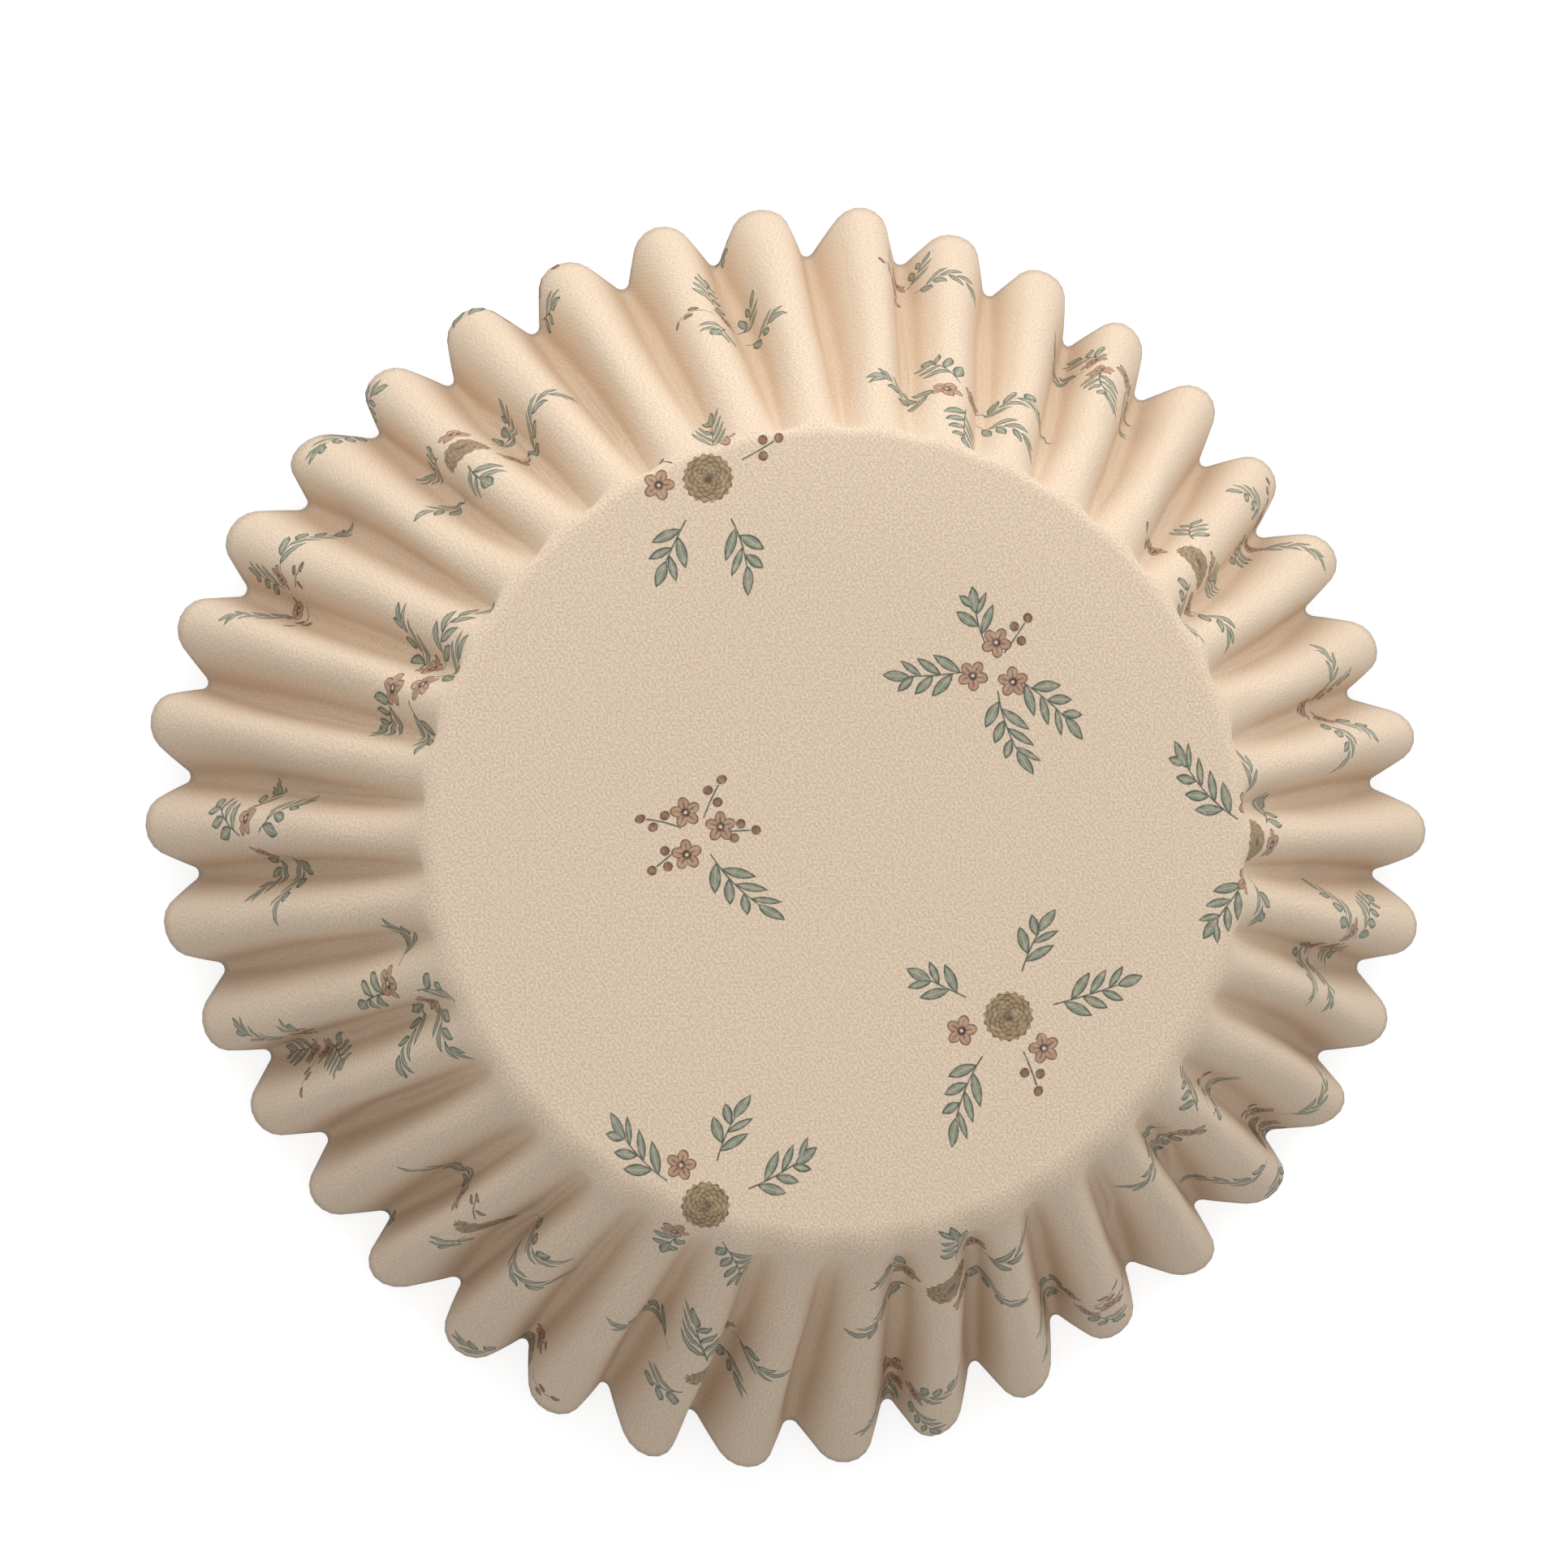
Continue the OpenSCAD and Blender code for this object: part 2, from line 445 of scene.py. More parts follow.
# Shortens or lengthens the cup a little below its base, so that its lowest point meets the table
def standOnRim(bm):
    top = cadBox[1].z
    lowest = min(vert.co.z for vert in bm.verts)
    share = (top - cadBox[0].z) / (top - lowest)
    bmesh.ops.scale(bm, vec=(1, 1, share), space=Matrix.Translation((0, 0, -top)), verts=bm.verts[:])


def makeLiner():
    top = cadBox[1].z - paperBlank["thickness"] / 2
    mesh = bpy.data.meshes.new("paperLiner")
    outside = pressedSheet("outside", top)
    inside = pressedSheet("inside", top)
    inner = bpy.data.meshes.new("innerFace")
    inside.to_mesh(inner)
    outside.from_mesh(inner)
    rims = [edge for edge in outside.edges if edge.is_boundary]
    made = bmesh.ops.bridge_loops(outside, edges=rims)
    for face in made["faces"]:
        face.material_index = 1
        face.smooth = True
    mapRim(outside, made["faces"])
    bmesh.ops.recalc_face_normals(outside, faces=made["faces"])
    standOnRim(outside)
    outside.to_mesh(mesh)
    outside.free()
    inside.free()
    bpy.data.meshes.remove(inner)
    liner = bpy.data.objects.new("paperLiner", mesh)
    bpy.context.scene.collection.objects.link(liner)
    return liner


liner = makeLiner()
print("pressed the liner:", len(liner.data.polygons), "faces")


def newMaterial(name):
    material = bpy.data.materials.new(name)
    material.use_nodes = True
    material.node_tree.nodes.clear()
    return material, material.node_tree


def feed(tree, socket, value):
    if isinstance(value, bpy.types.NodeSocket):
        tree.links.new(value, socket)
    else:
        socket.default_value = value


def calc(tree, operation, *values):
    node = tree.nodes.new("ShaderNodeMath")
    node.operation = operation
    for socket, value in zip(node.inputs, values):
        feed(tree, socket, value)
    return node.outputs[0]


def mixed(tree, share, first, second):
    node = tree.nodes.new("ShaderNodeMix")
    node.data_type = "RGBA"
    feed(tree, node.inputs["Factor"], share)
    for socket, value in zip((node.inputs[6], node.inputs[7]), (first, second)):
        feed(tree, socket, value)
    return node.outputs[2]


def plainColour(red, green, blue):
    def linear(level):
        share = level / 255
        return share / 12.92 if share <= 0.04045 else ((share + 0.055) / 1.055) ** 2.4
    return (linear(red), linear(green), linear(blue), 1)


# Coordinates on the flat sheet in millimetres, as a vector and as x and y
def flatPlace(tree):
    sheet = tree.nodes.new("ShaderNodeUVMap")
    sheet.uv_map = "blankMap"
    place = tree.nodes.new("ShaderNodeMapping")
    across = 2 * (paperBlank["baseRadius"] + paperBlank["wallLength"]) / mm
    place.inputs["Location"].default_value = (-across / 2, -across / 2, 0)
    place.inputs["Scale"].default_value = (across, across, across)
    tree.links.new(sheet.outputs["UV"], place.inputs["Vector"])
    parts = tree.nodes.new("ShaderNodeSeparateXYZ")
    tree.links.new(place.outputs["Vector"], parts.inputs["Vector"])
    return place.outputs["Vector"], parts.outputs["X"], parts.outputs["Y"]


paperFinishAndShade = {
    "paleFleck": plainColour(233, 214, 191),
    "darkFleck": plainColour(200, 176, 152),
    "warmFleck": plainColour(235, 204, 183),
    "coolFleck": plainColour(220, 207, 175),
    "insideTone": plainColour(236, 228, 214),
    "insideCloud": plainColour(229, 219, 202),
    "showThrough": 0.13,         # how faintly the print is seen from inside
    "fleckScale": 7.0,           # per millimetre
    "hueScale": 0.55,            # of the warm and cool flecks, as a share of that
    "hueShare": 0.35,            # how much these two add to the pale and dark ones
    "ribPitch": 0.28,            # of the fine ribs that the press leaves on the wall
    "ribRelief": 0.38,           # share of the fibres' relief
    "roughness": 0.68,
    "gloss": 1.4,                # index of refraction
    "fibreScale": 5.0,           # per millimetre
    "fibreRelief": 0.012 * mm,
    "reliefStrength": 0.6,
    "paintedFoldShade": (0.89, 0.84, 0.79, 1),   # painted shade: the paper's colour deep in a pressed fold
    "foldFrom": 0.42,            # share of the way from crest to valley
    "foldFull": 0.8,
}


def grainAt(tree, place, scale, detail=2.0):
    grain = tree.nodes.new("ShaderNodeTexNoise")
    grain.noise_dimensions = "2D"
    grain.inputs["Scale"].default_value = scale
    grain.inputs["Detail"].default_value = detail
    tree.links.new(place, grain.inputs["Vector"])
    return grain


def finishPaper(tree, colour, place, finishAndShade):
    surface = tree.nodes.new("ShaderNodeBsdfPrincipled")
    surface.inputs["Roughness"].default_value = finishAndShade["roughness"]
    surface.inputs["IOR"].default_value = finishAndShade["gloss"]
    feed(tree, surface.inputs["Base Color"], colour)
    fibres = grainAt(tree, place, finishAndShade["fibreScale"])
    rib = tree.nodes.new("ShaderNodeVectorMath")
    rib.operation = "DOT_PRODUCT"
    rib.inputs[1].default_value = Vector((0.8, 0.6, 0)) * fullTurn / finishAndShade["ribPitch"]
    tree.links.new(place, rib.inputs[0])
    height = calc(tree, "MULTIPLY_ADD", calc(tree, "SINE", rib.outputs["Value"]), finishAndShade["ribRelief"],
                  fibres.outputs["Fac"])
    relief = tree.nodes.new("ShaderNodeBump")
    relief.inputs["Strength"].default_value = finishAndShade["reliefStrength"]
    relief.inputs["Distance"].default_value = finishAndShade["fibreRelief"]
    tree.links.new(height, relief.inputs["Height"])
    tree.links.new(relief.outputs["Normal"], surface.inputs["Normal"])
    output = tree.nodes.new("ShaderNodeOutputMaterial")
    tree.links.new(surface.outputs["BSDF"], output.inputs["Surface"])


def paperTone(tree, place, finishAndShade):
    flecks = grainAt(tree, place, finishAndShade["fleckScale"], 1.0)
    hues = grainAt(tree, place, finishAndShade["fleckScale"] * finishAndShade["hueScale"], 1.0)
    pale = calc(tree, "MULTIPLY_ADD", flecks.outputs["Fac"], 3.0, -1.0)
    grain = mixed(tree, calc(tree, "MINIMUM", calc(tree, "MAXIMUM", pale, 0.0), 1.0),
                  finishAndShade["darkFleck"], finishAndShade["paleFleck"])
    cool = calc(tree, "MULTIPLY_ADD", hues.outputs["Fac"], 2.4, -0.7)
    hue = mixed(tree, calc(tree, "MINIMUM", calc(tree, "MAXIMUM", cool, 0.0), 1.0),
                finishAndShade["warmFleck"], finishAndShade["coolFleck"])
    return mixed(tree, finishAndShade["hueShare"], grain, hue)


# Painted shade: the paper's colour is made a little darker and warmer deep in the folds, from part way down
# each flank to the valley floor, and it stands in for the shade there
def withPaintedFoldShade(tree, colour, x, y, finishAndShade):
    maths = functools.partial(calc, tree)
    flutes = maths("MULTIPLY", maths("ARCTAN2", y, x), paperBlank["flutes"] / fullTurn)
    fromCrest = maths("MULTIPLY", maths("PINGPONG", flutes, 0.5), 2.0)
    deep = tree.nodes.new("ShaderNodeMapRange")
    deep.interpolation_type = "SMOOTHSTEP"
    deep.inputs["From Min"].default_value = finishAndShade["foldFrom"]
    deep.inputs["From Max"].default_value = finishAndShade["foldFull"]
    feed(tree, deep.inputs["Value"], fromCrest)
    outward = tree.nodes.new("ShaderNodeMapRange")
    outward.interpolation_type = "SMOOTHSTEP"
    outward.inputs["From Min"].default_value = paperBlank["baseRadius"] / mm
    outward.inputs["From Max"].default_value = (paperBlank["baseRadius"] + paperBlank["wallLength"] / 3) / mm
    feed(tree, outward.inputs["Value"], lengthOf(tree, x, y))
    paintedShade = mixed(tree, maths("MULTIPLY", deep.outputs["Result"], outward.outputs["Result"]),
                 (1, 1, 1, 1), finishAndShade["paintedFoldShade"])
    node = tree.nodes.new("ShaderNodeMix")
    node.data_type = "RGBA"
    node.blend_type = "MULTIPLY"
    node.inputs["Factor"].default_value = 1.0
    tree.links.new(colour, node.inputs[6])
    tree.links.new(paintedShade, node.inputs[7])
    return node.outputs[2]


# The printed motifs, in millimetres on the flat sheet
printPattern = {
    "columnStep": 18.5,
    "rowStep": 21.5,
    "jitter": 2.6,
    "seedHeads": 0.3,            # share of the clusters round a seed head
    "sprigs": 5,
    "bareShare": 0.32,           # of the places for sprigs, which then hold berries
    "sprigStart": 1.5,
    "sprigReach": (1.7, 4.8),
    "sprigBend": 0.07,
    "leafStep": 1.2,
    "leafLength": 2.1,
    "leafWidth": 0.36,
    "leafLean": math.radians(40),
    "leafStagger": 0.4,          # of a step, between the two sides of a stem
    "leafTaper": 0.35,           # share by which leaves shrink along a stem
    "leafLeast": 0.5,
    "endLeaf": 0.8,              # length of a sprig's last leaf, as a share of the others'
    "stemWidth": 0.05,
    "berryRadius": 0.3,
    "berryRow": (0.7, 0.42),     # along and beside the stalk
    "berryStagger": 0.45,
    "lastBerry": 1.35,           # beyond the others
    "stalkMiddle": 0.6,
    "stalkHalf": 1.1,            # half its length
    "blossoms": 3,
    "blossomReach": 1.45,
    "petals": 5,
    "petalReach": 0.52,
    "petalRadius": 0.43,
    "petalSlim": 1.25,
    "lostPetals": 0.22,          # share of the places for blossoms that stay empty
    "eyeRadius": 0.27,
    "headRadius": 1.45,
    "headStreaks": 18,
    "headSwirl": 2.2,
    "headScallop": 0.07,
    "headEye": 0.32,
    # How much further out sprigs and blossoms stand round a seed head
    "headRoom": (1.3, 1.45),
    "wobble": (math.radians(14), math.radians(12)),   # of sprigs and of blossoms round their cluster
    "inkPatches": (2.2, 0.9, 0.48),  # uneven ink: per millimetre, how uneven, least cover
    "softness": 0.06,
    "leafGreen": plainColour(134, 139, 120),
    "leafEdge": plainColour(76, 84, 74),
    "leafVein": plainColour(164, 166, 146),
    "petalRose": plainColour(178, 142, 116),
    "petalEdge": plainColour(106, 76, 58),
    "eyeBrown": plainColour(62, 46, 44),
    "berryRed": plainColour(138, 98, 74),
    "headOchre": plainColour(158, 134, 100),
    "headEdge": plainColour(98, 78, 58),
}


# 1 where a distance is below zero, 0 where it is above, with a soft edge
def within(tree, distance, softness):
    node = tree.nodes.new("ShaderNodeMath")
    node.operation = "MULTIPLY_ADD"
    node.use_clamp = True
    feed(tree, node.inputs[0], distance)
    node.inputs[1].default_value = -1 / softness
    node.inputs[2].default_value = 0.5
    return node.outputs[0]


def lengthOf(tree, x, y):
    maths = functools.partial(calc, tree)
    return maths("SQRT", maths("MULTIPLY_ADD", x, x, maths("MULTIPLY", y, y)))


def turned(tree, x, y, angle):
    maths = functools.partial(calc, tree)
    sine, cosine = maths("SINE", angle), maths("COSINE", angle)
    newX = maths("MULTIPLY_ADD", x, cosine, maths("MULTIPLY", y, sine))
    newY = maths("SUBTRACT", maths("MULTIPLY", y, cosine), maths("MULTIPLY", x, sine))
    return newX, newY


# Three numbers from 0 to 1, the same for the same three inputs
def chancesAt(tree, *inputs):
    place = tree.nodes.new("ShaderNodeCombineXYZ")
    for socket, value in zip(place.inputs, inputs):
        feed(tree, socket, value)
    dice = tree.nodes.new("ShaderNodeTexWhiteNoise")
    dice.noise_dimensions = "3D"
    tree.links.new(place.outputs[0], dice.inputs["Vector"])
    split = tree.nodes.new("ShaderNodeSeparateColor")
    tree.links.new(dice.outputs["Color"], split.inputs[0])
    return tuple(split.outputs)


# Half-drop lattice of clusters, each moved and turned a little: a place seen from its own cluster
def clusterPlace(tree, x, y):
    maths = functools.partial(calc, tree)
    across, up = printPattern["columnStep"], printPattern["rowStep"]
    jitter = printPattern["jitter"]
    column = maths("FLOOR", maths("DIVIDE", x, across))
    odd = maths("MODULO", maths("ABSOLUTE", column), 2.0)
    y = maths("MULTIPLY_ADD", odd, up / 2, y)
    row = maths("FLOOR", maths("DIVIDE", y, up))
    chances = chancesAt(tree, column, row, 3.0)
    x = maths("SUBTRACT", x, maths("MULTIPLY_ADD", column, across, across / 2 - jitter / 2))
    y = maths("SUBTRACT", y, maths("MULTIPLY_ADD", row, up, up / 2 - jitter / 2))
    x = maths("SUBTRACT", x, maths("MULTIPLY", chances[0], jitter))
    y = maths("SUBTRACT", y, maths("MULTIPLY", chances[1], jitter))
    x, y = turned(tree, x, y, maths("MULTIPLY", chances[2], fullTurn))
    return x, y, maths("MULTIPLY_ADD", row, 17.0, column)


# Splits a cluster into equal wedges round its middle: a place seen along its own wedge
def wedgePlace(tree, x, y, count, cluster, channel, wobble):
    maths = functools.partial(calc, tree)
    step = fullTurn / count
    index = maths("FLOOR", maths("DIVIDE", maths("ADD", maths("ARCTAN2", y, x), math.pi), step))
    chances = chancesAt(tree, cluster, index, channel)
    middle = maths("MULTIPLY_ADD", index, step, step / 2 - math.pi - wobble)
    middle = maths("MULTIPLY_ADD", chances[0], 2 * wobble, middle)
    return *turned(tree, x, y, middle), chances


def leftOut(tree, distance, share):
    return calc(tree, "MULTIPLY_ADD", share, 5.0, distance)


def lay(tree, colour, mask, ink, cover):
    return mixed(tree, calc(tree, "MULTIPLY", mask, cover), colour, ink)


# Distance outside a pointed leaf that runs along x from 0 to its length
def leafShape(tree, x, y, length, width):
    maths = functools.partial(calc, tree)
    share = maths("DIVIDE", x, length)
    bulge = maths("MULTIPLY", share, maths("SUBTRACT", 1.0, share))
    return maths("SUBTRACT", maths("ABSOLUTE", y), maths("MULTIPLY", bulge, maths("MULTIPLY", width, 4.0)))


def drawSprigs(tree, colour, x, y, luck, start, cover):
    pattern = printPattern
    soft, lean, step = pattern["softness"], pattern["leafLean"], pattern["leafStep"]
    maths = functools.partial(calc, tree)
    least, most = pattern["sprigReach"]
    reach = maths("MULTIPLY_ADD", luck[1], most - least, least)
    bare = maths("LESS_THAN", luck[2], pattern["bareShare"])
    along = maths("SUBTRACT", x, start)
    bend = maths("MULTIPLY_ADD", luck[0], 2 * pattern["sprigBend"], -pattern["sprigBend"])
    y = maths("SUBTRACT", y, maths("MULTIPLY", bend, maths("MULTIPLY", along, along)))
    aside = maths("ABSOLUTE", y)
    stagger = maths("MULTIPLY", maths("GREATER_THAN", y, 0.0), step * pattern["leafStagger"])

    # Leaves lean off the stem, so they repeat along a slanting line
    slant = maths("DIVIDE", aside, math.tan(lean))
    placed = maths("SUBTRACT", along, stagger)
    index = maths("FLOOR", maths("DIVIDE", maths("SUBTRACT", placed, slant), step))
    root = maths("MULTIPLY_ADD", index, step, step / 2)
    fromRoot = maths("SUBTRACT", placed, root)
    leafX = maths("MULTIPLY_ADD", fromRoot, math.cos(lean), maths("MULTIPLY", aside, math.sin(lean)))
    leafY = maths("SUBTRACT", maths("MULTIPLY", aside, math.cos(lean)),
                  maths("MULTIPLY", fromRoot, math.sin(lean)))
    taper = maths("SUBTRACT", 1.0, maths("MULTIPLY", maths("DIVIDE", root, reach), pattern["leafTaper"]))
    taper = maths("MAXIMUM", taper, pattern["leafLeast"])
    pair = leafShape(tree, leafX, leafY, maths("MULTIPLY", taper, pattern["leafLength"]),
                     maths("MULTIPLY", taper, pattern["leafWidth"]))
    pair = leftOut(tree, pair, maths("LESS_THAN", root, 0.0))
    pair = leftOut(tree, pair, maths("GREATER_THAN", root, reach))
    end = leafShape(tree, maths("SUBTRACT", along, reach), y,
                    pattern["leafLength"] * pattern["endLeaf"], pattern["leafWidth"])
    leaves = leftOut(tree, maths("MINIMUM", pair, end), bare)
    stem = maths("MAXIMUM", maths("SUBTRACT", aside, pattern["stemWidth"]), maths("MULTIPLY", along, -1.0))
    stem = maths("MAXIMUM", stem, maths("SUBTRACT", along, reach))
    stem = leftOut(tree, stem, bare)
    atEnd = maths("LESS_THAN", end, pair)
    fromVein = maths("MULTIPLY", maths("SUBTRACT", 1.0, atEnd), maths("ABSOLUTE", leafY))
    fromVein = maths("MULTIPLY_ADD", atEnd, aside, fromVein)
    vein = maths("MULTIPLY", within(tree, maths("SUBTRACT", fromVein, 0.04), soft),
                 within(tree, maths("ADD", leaves, 0.15), soft))
    green = mixed(tree, within(tree, maths("ADD", leaves, 0.1), soft),
                  pattern["leafEdge"], pattern["leafGreen"])
    green = mixed(tree, vein, green, pattern["leafVein"])
    colour = lay(tree, colour, within(tree, stem, soft), pattern["leafEdge"], cover)
    colour = lay(tree, colour, within(tree, leaves, soft), green, cover)

    # Where a wedge has no sprig, three berries on a short stalk
    berryAlong, berryAside = pattern["berryRow"]
    berryX = maths("SUBTRACT", along, berryAlong)
    placed = maths("SUBTRACT", berryX,
                   maths("MULTIPLY", maths("GREATER_THAN", y, 0.0), pattern["berryStagger"]))
    third = maths("SUBTRACT", berryX, pattern["lastBerry"])
    berries = maths("MINIMUM", lengthOf(tree, placed, maths("SUBTRACT", aside, berryAside)),
                    lengthOf(tree, third, y))
    berries = maths("SUBTRACT", berries, pattern["berryRadius"])
    sprouting = maths("SUBTRACT", 1.0, bare)
    berries = leftOut(tree, berries, sprouting)
    stalk = maths("MAXIMUM", maths("SUBTRACT", aside, pattern["stemWidth"]),
                  maths("SUBTRACT", maths("ABSOLUTE", maths("SUBTRACT", along, pattern["stalkMiddle"])),
                        pattern["stalkHalf"]))
    stalk = leftOut(tree, stalk, sprouting)
    red = mixed(tree, within(tree, maths("ADD", berries, 0.12), soft),
                pattern["petalEdge"], pattern["berryRed"])
    colour = lay(tree, colour, within(tree, stalk, soft), pattern["leafEdge"], cover)
    return lay(tree, colour, within(tree, berries, soft), red, cover)


def drawBlossoms(tree, colour, x, y, luck, reach, cover):
    pattern = printPattern
    soft = pattern["softness"]
    maths = functools.partial(calc, tree)
    x = maths("SUBTRACT", x, reach)
    spread = lengthOf(tree, x, y)
    step = fullTurn / pattern["petals"]
    angle = maths("ADD", maths("ARCTAN2", y, x), maths("MULTIPLY_ADD", luck[2], 3.0, 10 * math.pi))
    angle = maths("SUBTRACT", maths("MODULO", angle, step), step / 2)
    petalX = maths("SUBTRACT", maths("MULTIPLY", spread, maths("COSINE", angle)), pattern["petalReach"])
    petalY = maths("MULTIPLY", spread, maths("SINE", angle))
    petal = lengthOf(tree, petalX, maths("MULTIPLY", petalY, pattern["petalSlim"]))
    petal = maths("SUBTRACT", petal, pattern["petalRadius"])
    petal = leftOut(tree, petal, maths("LESS_THAN", luck[1], pattern["lostPetals"]))
    streak = maths("MULTIPLY", within(tree, maths("SUBTRACT", maths("ABSOLUTE", petalY), 0.04), soft),
                   within(tree, maths("SUBTRACT", spread, pattern["petalReach"] * 1.25), 0.3))
    rose = mixed(tree, within(tree, maths("ADD", petal, 0.09), soft * 1.4),
                 pattern["petalEdge"], pattern["petalRose"])
    rose = mixed(tree, streak, rose, pattern["petalEdge"])
    eye = within(tree, maths("SUBTRACT", spread, pattern["eyeRadius"]), 0.14)
    rose = mixed(tree, eye, rose, pattern["eyeBrown"])
    return lay(tree, colour, within(tree, petal, soft), rose, cover)


def drawSeedHead(tree, colour, x, y, present, cover):
    pattern = printPattern
    soft = pattern["softness"]
    maths = functools.partial(calc, tree)
    spread = lengthOf(tree, x, y)
    angle = maths("ARCTAN2", y, x)
    edge = maths("SUBTRACT", spread, pattern["headRadius"])
    scallops = maths("COSINE", maths("MULTIPLY", angle, pattern["headStreaks"]))
    edge = maths("MULTIPLY_ADD", scallops, pattern["headScallop"], edge)
    edge = leftOut(tree, edge, maths("SUBTRACT", 1.0, present))
    swirl = maths("MULTIPLY_ADD", spread, pattern["headSwirl"], angle)
    streaks = maths("SINE", maths("MULTIPLY", swirl, pattern["headStreaks"] / 2))
    counter = maths("MULTIPLY_ADD", spread, -pattern["headSwirl"], angle)
    streaks = maths("MAXIMUM", streaks, maths("SINE", maths("MULTIPLY", counter, pattern["headStreaks"] / 2)))
    dark = maths("SUBTRACT", 1.0, within(tree, maths("SUBTRACT", streaks, 0.8), 0.5))
    dark = maths("MAXIMUM", dark, within(tree, maths("SUBTRACT", spread, pattern["headEye"]), 0.2))
    ochre = mixed(tree, dark, pattern["headOchre"], pattern["headEdge"])
    return lay(tree, colour, within(tree, edge, soft), ochre, cover)


def printedOn(tree, colour, place, x, y):
    pattern = printPattern
    maths = functools.partial(calc, tree)
    patchScale, patchSwing, leastCover = pattern["inkPatches"]
    patches = grainAt(tree, place, patchScale, 3.0)
    cover = maths("MINIMUM", maths("MULTIPLY_ADD", patches.outputs["Fac"], patchSwing, leastCover), 1.0)
    sprigRoom, blossomRoom = pattern["headRoom"]
    sprigWobble, blossomWobble = pattern["wobble"]
    x, y, cluster = clusterPlace(tree, x, y)
    seeded = maths("LESS_THAN", chancesAt(tree, cluster, 5.0, 9.0)[0], pattern["seedHeads"])
    start = maths("MULTIPLY_ADD", seeded, sprigRoom, pattern["sprigStart"])
    sprigX, sprigY, luck = wedgePlace(tree, x, y, pattern["sprigs"], cluster, 1.0, sprigWobble)
    colour = drawSprigs(tree, colour, sprigX, sprigY, luck, start, cover)
    reach = maths("MULTIPLY_ADD", seeded, blossomRoom, pattern["blossomReach"])
    blossomX, blossomY, luck = wedgePlace(tree, x, y, pattern["blossoms"], cluster, 2.0, blossomWobble)
    colour = drawBlossoms(tree, colour, blossomX, blossomY, luck, reach, cover)
    return drawSeedHead(tree, colour, x, y, seeded, cover)


def makeOutsidePaper():
    material, tree = newMaterial("printedPaper")
    place, x, y = flatPlace(tree)
    colour = paperTone(tree, place, paperFinishAndShade)
    colour = printedOn(tree, colour, place, x, y)
    # painted shade, darker and warmer deep in the folds
    colour = withPaintedFoldShade(tree, colour, x, y, paperFinishAndShade)
    finishPaper(tree, colour, place, paperFinishAndShade)
    return material


def makeInsidePaper():
    material, tree = newMaterial("plainPaper")
    place, x, y = flatPlace(tree)
    clouds = grainAt(tree, place, 0.8)
    colour = mixed(tree, clouds.outputs["Fac"], paperFinishAndShade["insideTone"], paperFinishAndShade["insideCloud"])
    ghost = printedOn(tree, colour, place, x, y)
    colour = mixed(tree, paperFinishAndShade["showThrough"], colour, ghost)
    finishPaper(tree, colour, place, paperFinishAndShade)
    return material


liner.data.materials.append(makeOutsidePaper())
liner.data.materials.append(makeInsidePaper())
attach(liner, "root")
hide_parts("liner")
print("finished the paper")

tableTop = {
    "halfWidth": 0.6,
    "shade": 0.45,               # what the floor gives back to the paper
    "glow": 0.78,                # lifts what the eye sees of it to white
}


# 1 for what the eye sees, straight on or in a gloss or through glass, and 0 for light on its way
def seenRay(tree):
    path = tree.nodes.new("ShaderNodeLightPath")
    seen = calc(tree, "ADD", path.outputs["Is Camera Ray"], path.outputs["Is Glossy Ray"])
    return calc(tree, "MINIMUM", calc(tree, "ADD", seen, path.outputs["Is Transmission Ray"]), 1.0)


def makeFloor():
    bm = bmesh.new()
    bmesh.ops.create_grid(bm, x_segments=1, y_segments=1, size=tableTop["halfWidth"])
    bmesh.ops.translate(bm, verts=bm.verts[:], vec=(0, 0, cadBox[0].z))
    mesh = bpy.data.meshes.new("tableTop")
    bm.to_mesh(mesh)
    bm.free()
    floor = bpy.data.objects.new("tableTop", mesh)
    bpy.context.scene.collection.objects.link(floor)
    material, tree = newMaterial("paleTable")
    shade = tableTop["shade"]
    dull = tree.nodes.new("ShaderNodeBsdfDiffuse")
    dull.inputs["Color"].default_value = (shade, shade, shade, 1)
    glow = tree.nodes.new("ShaderNodeEmission")
    feed(tree, glow.inputs["Strength"], calc(tree, "MULTIPLY", seenRay(tree), tableTop["glow"]))
    added = tree.nodes.new("ShaderNodeAddShader")
    tree.links.new(dull.outputs[0], added.inputs[0])
    tree.links.new(glow.outputs[0], added.inputs[1])
    output = tree.nodes.new("ShaderNodeOutputMaterial")
    tree.links.new(added.outputs[0], output.inputs["Surface"])
    mesh.materials.append(material)


# A wide soft panel on the +Y side, low over the table, and an even sky
studioLight = {
    "direction": math.radians(81),   # round from +X
    "height": math.radians(25.5),    # above the table
    "distance": 0.8,
    "panel": (2.8, 0.93),
    "power": 13.35,
    "sky": 0.6,
}


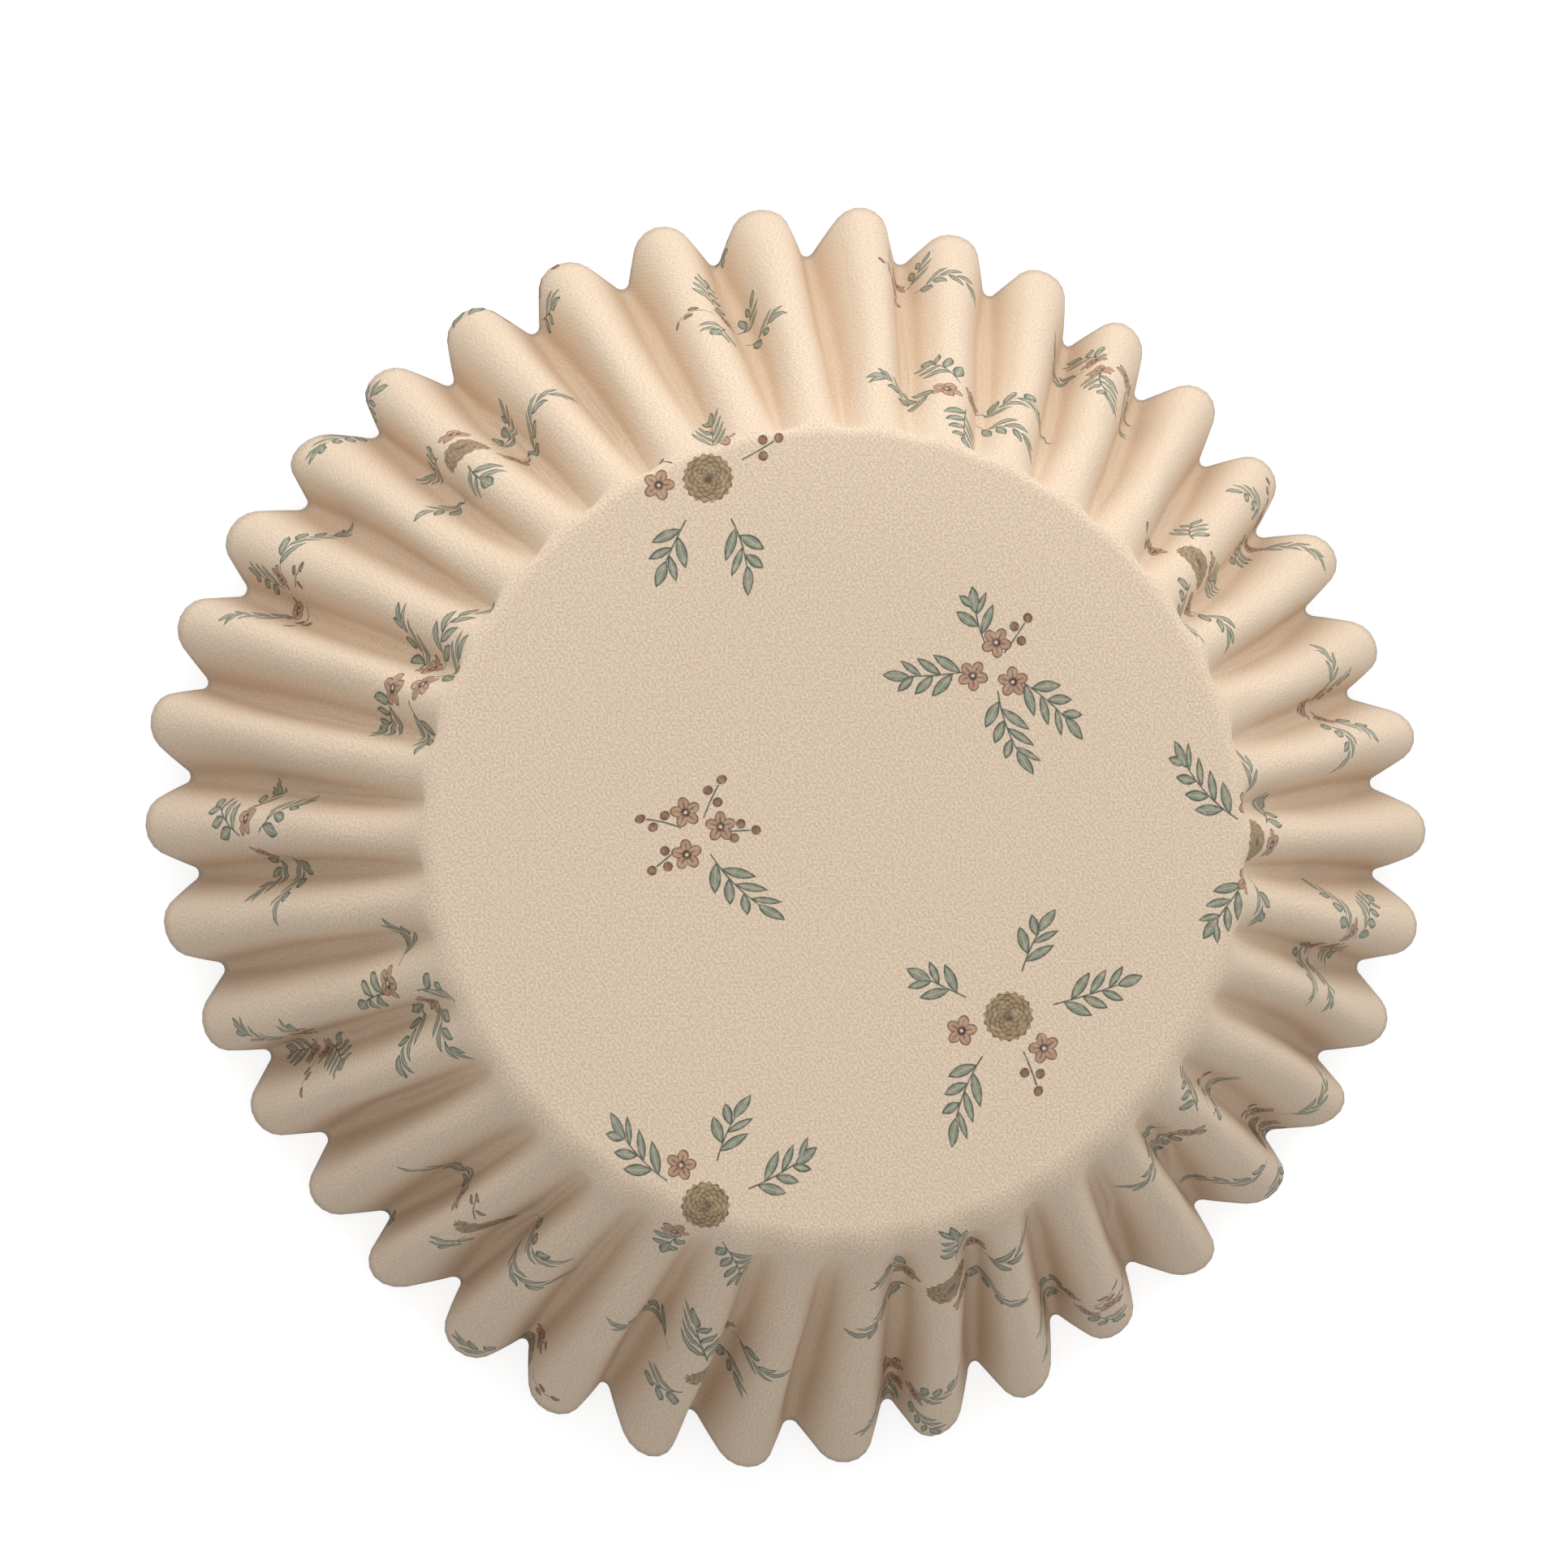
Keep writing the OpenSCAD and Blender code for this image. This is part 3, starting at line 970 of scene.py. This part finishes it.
def makeLight():
    light = studioLight
    lamp = bpy.data.lights.new("softWindow", "AREA")
    lamp.shape = "RECTANGLE"
    lamp.size, lamp.size_y = light["panel"]
    lamp.energy = light["power"]
    way = Vector(
        (
            math.cos(light["direction"]) * math.cos(light["height"]),
            math.sin(light["direction"]) * math.cos(light["height"]),
            math.sin(light["height"]),
        )
    )
    holder = bpy.data.objects.new("softWindow", lamp)
    holder.location = way * light["distance"]
    holder.rotation_mode = "QUATERNION"
    holder.rotation_quaternion = way.to_track_quat("Z", "Y")
    holder.visible_camera = False
    bpy.context.scene.collection.objects.link(holder)
    world = bpy.data.worlds.new("studio")
    world.use_nodes = True
    tree = world.node_tree
    sky = tree.nodes["Background"]
    sky.inputs["Color"].default_value = (1, 1, 1, 1)
    strength = calc(tree, "MULTIPLY_ADD", seenRay(tree), 1 - light["sky"], light["sky"])
    feed(tree, sky.inputs["Strength"], strength)
    bpy.context.scene.world = world


photoView = {
    "pixels": 1932,
    "pixelsPerMm": 19.3,             # at the height of the rim
    "distance": 600 * mm,
    "tilt": math.radians(5.28),      # off the vertical
    "tiltTowards": math.radians(173.6),
    "aim": Vector((-0.07, 2.99, 0)) * mm,
    "sensor": 36.0,
}


def makeCamera():
    photo = photoView
    camera = bpy.data.cameras.new("photoCamera")
    camera.sensor_width = photo["sensor"]
    camera.lens = photo["sensor"] * photo["pixelsPerMm"] * photo["distance"] / mm / photo["pixels"]
    camera.clip_start = 0.01
    camera.clip_end = 10
    back = Vector(
        (
            math.sin(photo["tilt"]) * math.cos(photo["tiltTowards"]),
            math.sin(photo["tilt"]) * math.sin(photo["tiltTowards"]),
            math.cos(photo["tilt"]),
        )
    )
    right = Vector((0, 1, 0)).cross(back).normalized()
    holder = bpy.data.objects.new("photoCamera", camera)
    axes = Matrix((right, back.cross(right), back)).transposed()
    holder.matrix_world = Matrix.Translation(photo["aim"] + back * photo["distance"]) @ axes.to_4x4()
    bpy.context.scene.collection.objects.link(holder)
    bpy.context.scene.camera = holder


makeFloor()
makeLight()
makeCamera()
bpy.context.scene.view_settings.view_transform = "Standard"
print("set the stage")
